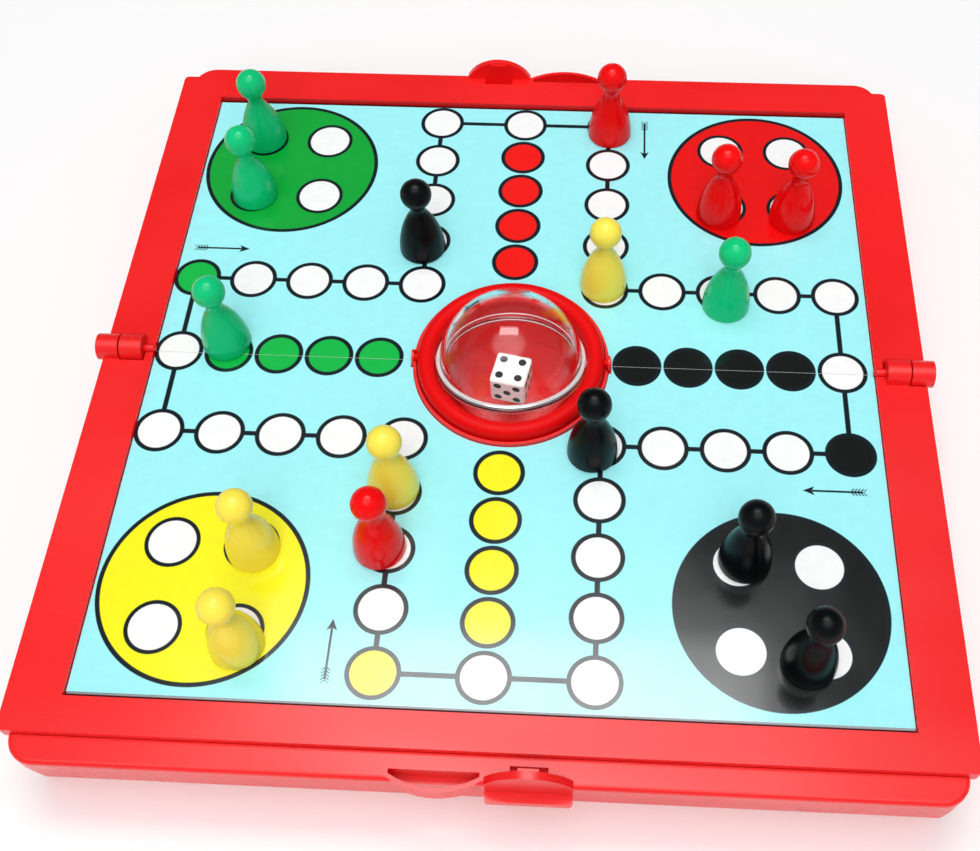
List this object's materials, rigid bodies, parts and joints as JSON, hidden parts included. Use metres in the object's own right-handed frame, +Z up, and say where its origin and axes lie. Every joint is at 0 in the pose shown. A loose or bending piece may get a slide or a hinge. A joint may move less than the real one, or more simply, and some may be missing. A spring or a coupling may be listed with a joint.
{
  "type": "folding magnetic ludo board",
  "caption": "Folding square game board with hinged tray halves, steel-backed print, magnetic pawns and a clear dice ball that spins in a ring on the fold line.",
  "frame": {"origin": "on the table under the middle of the fold line, with the board laid open", "axes": "+X along the fold line, +Y from the front half to the back half, +Z up"},
  "size_m": [0.203, 0.2088, 0.0477],
  "materials": {
    "red_casing": "gloss",
    "steel": "rolled",
    "print_film": "gloss",
    "clear_shell": "clear gloss",
    "die_white": "gloss",
    "green_pawn": "satin",
    "red_pawn": "satin",
    "black_pawn": "gloss",
    "yellow_pawn": "satin",
    "magnet": "sintered"
  },
  "bodies": {
    "front_half": {"front_tray": "red_casing", "front_deck": "red_casing", "front_steel_sheet": "steel", "front_print": "print_film", "left_hinge_pin": "red_casing", "right_hinge_pin": "red_casing"},
    "back_half": {"back_tray": "red_casing", "back_deck": "red_casing", "back_steel_sheet": "steel", "back_print": "print_film"},
    "dice_ring": {"dice_ring": "red_casing"},
    "dice_ball": {"ball_dome": "clear_shell", "ball_bowl": "clear_shell"},
    "die": {"die": "die_white"},
    "green_pawn_1": {"green_pawn_1": "green_pawn", "green_pawn_1_magnet": "magnet"},
    "green_pawn_2": {"green_pawn_2": "green_pawn", "green_pawn_2_magnet": "magnet"},
    "green_pawn_3": {"green_pawn_3": "green_pawn", "green_pawn_3_magnet": "magnet"},
    "green_pawn_4": {"green_pawn_4": "green_pawn", "green_pawn_4_magnet": "magnet"},
    "red_pawn_1": {"red_pawn_1": "red_pawn", "red_pawn_1_magnet": "magnet"},
    "red_pawn_2": {"red_pawn_2": "red_pawn", "red_pawn_2_magnet": "magnet"},
    "red_pawn_3": {"red_pawn_3": "red_pawn", "red_pawn_3_magnet": "magnet"},
    "red_pawn_4": {"red_pawn_4": "red_pawn", "red_pawn_4_magnet": "magnet"},
    "black_pawn_1": {"black_pawn_1": "black_pawn", "black_pawn_1_magnet": "magnet"},
    "black_pawn_2": {"black_pawn_2": "black_pawn", "black_pawn_2_magnet": "magnet"},
    "black_pawn_3": {"black_pawn_3": "black_pawn", "black_pawn_3_magnet": "magnet"},
    "black_pawn_4": {"black_pawn_4": "black_pawn", "black_pawn_4_magnet": "magnet"},
    "yellow_pawn_1": {"yellow_pawn_1": "yellow_pawn", "yellow_pawn_1_magnet": "magnet"},
    "yellow_pawn_2": {"yellow_pawn_2": "yellow_pawn", "yellow_pawn_2_magnet": "magnet"},
    "yellow_pawn_3": {"yellow_pawn_3": "yellow_pawn", "yellow_pawn_3_magnet": "magnet"},
    "yellow_pawn_4": {"yellow_pawn_4": "yellow_pawn", "yellow_pawn_4_magnet": "magnet"}
  },
  "joints": [
    {"name": "board_fold", "type": "hinge", "parent": "front_half", "child": "back_half", "pos_m": [0, 0, 0.02456], "axis": [1, 0, 0], "range_deg": [0, 180]},
    {"name": "ring_swivel", "type": "hinge", "parent": "front_half", "child": "dice_ring", "pos_m": [0, 0, 0.02456], "axis": [1, 0, 0], "range_deg": [-90, 90]},
    {"name": "ball_spin", "type": "hinge", "parent": "dice_ring", "child": "dice_ball", "pos_m": [0, 0, 0.02456], "axis": [1, 0, 0], "continuous": true},
    {"name": "die_hop", "type": "slide", "parent": "dice_ball", "child": "die", "axis": [0, 0, 1], "range_m": [0, 0.006]},
    {"name": "green_pawn_1_lift", "type": "slide", "parent": "front_half", "child": "green_pawn_1", "axis": [0, 0, 1], "range_m": [0, 0.33]},
    {"name": "green_pawn_2_lift", "type": "slide", "parent": "front_half", "child": "green_pawn_2", "axis": [0, 0, 1], "range_m": [0, 0.33]},
    {"name": "green_pawn_3_lift", "type": "slide", "parent": "front_half", "child": "green_pawn_3", "axis": [0, 0, 1], "range_m": [0, 0.33]},
    {"name": "green_pawn_4_lift", "type": "slide", "parent": "front_half", "child": "green_pawn_4", "axis": [0, 0, 1], "range_m": [0, 0.33]},
    {"name": "red_pawn_1_lift", "type": "slide", "parent": "front_half", "child": "red_pawn_1", "axis": [0, 0, 1], "range_m": [0, 0.33]},
    {"name": "red_pawn_2_lift", "type": "slide", "parent": "front_half", "child": "red_pawn_2", "axis": [0, 0, 1], "range_m": [0, 0.33]},
    {"name": "red_pawn_3_lift", "type": "slide", "parent": "front_half", "child": "red_pawn_3", "axis": [0, 0, 1], "range_m": [0, 0.33]},
    {"name": "red_pawn_4_lift", "type": "slide", "parent": "front_half", "child": "red_pawn_4", "axis": [0, 0, 1], "range_m": [0, 0.33]},
    {"name": "black_pawn_1_lift", "type": "slide", "parent": "front_half", "child": "black_pawn_1", "axis": [0, 0, 1], "range_m": [0, 0.33]},
    {"name": "black_pawn_2_lift", "type": "slide", "parent": "front_half", "child": "black_pawn_2", "axis": [0, 0, 1], "range_m": [0, 0.33]},
    {"name": "black_pawn_3_lift", "type": "slide", "parent": "front_half", "child": "black_pawn_3", "axis": [0, 0, 1], "range_m": [0, 0.33]},
    {"name": "black_pawn_4_lift", "type": "slide", "parent": "front_half", "child": "black_pawn_4", "axis": [0, 0, 1], "range_m": [0, 0.33]},
    {"name": "yellow_pawn_1_lift", "type": "slide", "parent": "front_half", "child": "yellow_pawn_1", "axis": [0, 0, 1], "range_m": [0, 0.33]},
    {"name": "yellow_pawn_2_lift", "type": "slide", "parent": "front_half", "child": "yellow_pawn_2", "axis": [0, 0, 1], "range_m": [0, 0.33]},
    {"name": "yellow_pawn_3_lift", "type": "slide", "parent": "front_half", "child": "yellow_pawn_3", "axis": [0, 0, 1], "range_m": [0, 0.33]},
    {"name": "yellow_pawn_4_lift", "type": "slide", "parent": "front_half", "child": "yellow_pawn_4", "axis": [0, 0, 1], "range_m": [0, 0.33]}
  ],
  "couplings": [
    {"joint": "green_pawn_1_lift", "follows": "board_fold", "m_per_rad": 0.104},
    {"joint": "green_pawn_2_lift", "follows": "board_fold", "m_per_rad": 0.104},
    {"joint": "green_pawn_3_lift", "follows": "board_fold", "m_per_rad": 0.104},
    {"joint": "green_pawn_4_lift", "follows": "board_fold", "m_per_rad": 0.104},
    {"joint": "red_pawn_1_lift", "follows": "board_fold", "m_per_rad": 0.104},
    {"joint": "red_pawn_2_lift", "follows": "board_fold", "m_per_rad": 0.104},
    {"joint": "red_pawn_3_lift", "follows": "board_fold", "m_per_rad": 0.104},
    {"joint": "red_pawn_4_lift", "follows": "board_fold", "m_per_rad": 0.104},
    {"joint": "black_pawn_1_lift", "follows": "board_fold", "m_per_rad": 0.104},
    {"joint": "black_pawn_2_lift", "follows": "board_fold", "m_per_rad": 0.104},
    {"joint": "black_pawn_3_lift", "follows": "board_fold", "m_per_rad": 0.104},
    {"joint": "black_pawn_4_lift", "follows": "board_fold", "m_per_rad": 0.104},
    {"joint": "yellow_pawn_1_lift", "follows": "board_fold", "m_per_rad": 0.104},
    {"joint": "yellow_pawn_2_lift", "follows": "board_fold", "m_per_rad": 0.104},
    {"joint": "yellow_pawn_3_lift", "follows": "board_fold", "m_per_rad": 0.104},
    {"joint": "yellow_pawn_4_lift", "follows": "board_fold", "m_per_rad": 0.104}
  ]
}
